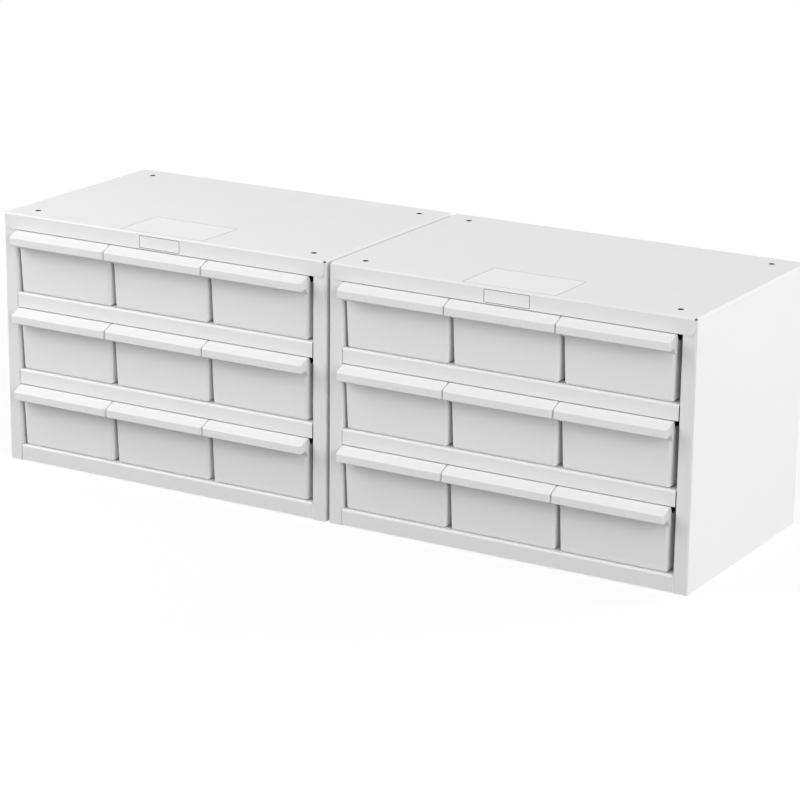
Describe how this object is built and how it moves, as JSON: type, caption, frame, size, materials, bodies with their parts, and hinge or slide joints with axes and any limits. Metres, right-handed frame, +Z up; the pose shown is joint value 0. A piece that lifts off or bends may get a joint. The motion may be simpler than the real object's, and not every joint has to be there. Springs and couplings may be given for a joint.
{
  "type": "van parts bin cabinet",
  "caption": "Side-by-side white sheet-steel shelf cabinets for a van, holding rows of pull-out moulded plastic parts bins with hooked lip handles.",
  "frame": {"origin": "on the floor, under the middle of the pair's box", "axes": "+X to the right as one faces the front, +Y to the back, +Z up; the bins open towards -Y"},
  "size_m": [0.919, 0.307, 0.311],
  "materials": {
    "cabinet_steel": "white powder coat, satin",
    "bin_plastic": "moulded white plastic, fine satin"
  },
  "bodies": {
    "cabinets": {"left_wrapper": "cabinet_steel", "left_back_panel": "cabinet_steel", "left_base": "cabinet_steel", "left_lower_shelf": "cabinet_steel", "left_upper_shelf": "cabinet_steel", "right_wrapper": "cabinet_steel", "right_back_panel": "cabinet_steel", "right_base": "cabinet_steel", "right_lower_shelf": "cabinet_steel", "right_upper_shelf": "cabinet_steel"},
    "left_bin_bottom_left": {"left_bin_bottom_left": "bin_plastic"},
    "left_bin_bottom_middle": {"left_bin_bottom_middle": "bin_plastic"},
    "left_bin_bottom_right": {"left_bin_bottom_right": "bin_plastic"},
    "left_bin_middle_left": {"left_bin_middle_left": "bin_plastic"},
    "left_bin_middle_middle": {"left_bin_middle_middle": "bin_plastic"},
    "left_bin_middle_right": {"left_bin_middle_right": "bin_plastic"},
    "left_bin_top_left": {"left_bin_top_left": "bin_plastic"},
    "left_bin_top_middle": {"left_bin_top_middle": "bin_plastic"},
    "left_bin_top_right": {"left_bin_top_right": "bin_plastic"},
    "right_bin_bottom_left": {"right_bin_bottom_left": "bin_plastic"},
    "right_bin_bottom_middle": {"right_bin_bottom_middle": "bin_plastic"},
    "right_bin_bottom_right": {"right_bin_bottom_right": "bin_plastic"},
    "right_bin_middle_left": {"right_bin_middle_left": "bin_plastic"},
    "right_bin_middle_middle": {"right_bin_middle_middle": "bin_plastic"},
    "right_bin_middle_right": {"right_bin_middle_right": "bin_plastic"},
    "right_bin_top_left": {"right_bin_top_left": "bin_plastic"},
    "right_bin_top_middle": {"right_bin_top_middle": "bin_plastic"},
    "right_bin_top_right": {"right_bin_top_right": "bin_plastic"}
  },
  "joints": [
    {"name": "left_bin_bottom_left_slide", "type": "slide", "parent": "cabinets", "child": "left_bin_bottom_left", "axis": [0, -1, 0], "range_m": [0, 0.29]},
    {"name": "left_bin_bottom_middle_slide", "type": "slide", "parent": "cabinets", "child": "left_bin_bottom_middle", "axis": [0, -1, 0], "range_m": [0, 0.29]},
    {"name": "left_bin_bottom_right_slide", "type": "slide", "parent": "cabinets", "child": "left_bin_bottom_right", "axis": [0, -1, 0], "range_m": [0, 0.29]},
    {"name": "left_bin_middle_left_slide", "type": "slide", "parent": "cabinets", "child": "left_bin_middle_left", "axis": [0, -1, 0], "range_m": [0, 0.29]},
    {"name": "left_bin_middle_middle_slide", "type": "slide", "parent": "cabinets", "child": "left_bin_middle_middle", "axis": [0, -1, 0], "range_m": [0, 0.29]},
    {"name": "left_bin_middle_right_slide", "type": "slide", "parent": "cabinets", "child": "left_bin_middle_right", "axis": [0, -1, 0], "range_m": [0, 0.29]},
    {"name": "left_bin_top_left_slide", "type": "slide", "parent": "cabinets", "child": "left_bin_top_left", "axis": [0, -1, 0], "range_m": [0, 0.29]},
    {"name": "left_bin_top_middle_slide", "type": "slide", "parent": "cabinets", "child": "left_bin_top_middle", "axis": [0, -1, 0], "range_m": [0, 0.29]},
    {"name": "left_bin_top_right_slide", "type": "slide", "parent": "cabinets", "child": "left_bin_top_right", "axis": [0, -1, 0], "range_m": [0, 0.29]},
    {"name": "right_bin_bottom_left_slide", "type": "slide", "parent": "cabinets", "child": "right_bin_bottom_left", "axis": [0, -1, 0], "range_m": [0, 0.29]},
    {"name": "right_bin_bottom_middle_slide", "type": "slide", "parent": "cabinets", "child": "right_bin_bottom_middle", "axis": [0, -1, 0], "range_m": [0, 0.29]},
    {"name": "right_bin_bottom_right_slide", "type": "slide", "parent": "cabinets", "child": "right_bin_bottom_right", "axis": [0, -1, 0], "range_m": [0, 0.29]},
    {"name": "right_bin_middle_left_slide", "type": "slide", "parent": "cabinets", "child": "right_bin_middle_left", "axis": [0, -1, 0], "range_m": [0, 0.29]},
    {"name": "right_bin_middle_middle_slide", "type": "slide", "parent": "cabinets", "child": "right_bin_middle_middle", "axis": [0, -1, 0], "range_m": [0, 0.29]},
    {"name": "right_bin_middle_right_slide", "type": "slide", "parent": "cabinets", "child": "right_bin_middle_right", "axis": [0, -1, 0], "range_m": [0, 0.29]},
    {"name": "right_bin_top_left_slide", "type": "slide", "parent": "cabinets", "child": "right_bin_top_left", "axis": [0, -1, 0], "range_m": [0, 0.29]},
    {"name": "right_bin_top_middle_slide", "type": "slide", "parent": "cabinets", "child": "right_bin_top_middle", "axis": [0, -1, 0], "range_m": [0, 0.29]},
    {"name": "right_bin_top_right_slide", "type": "slide", "parent": "cabinets", "child": "right_bin_top_right", "axis": [0, -1, 0], "range_m": [0, 0.29]}
  ]
}
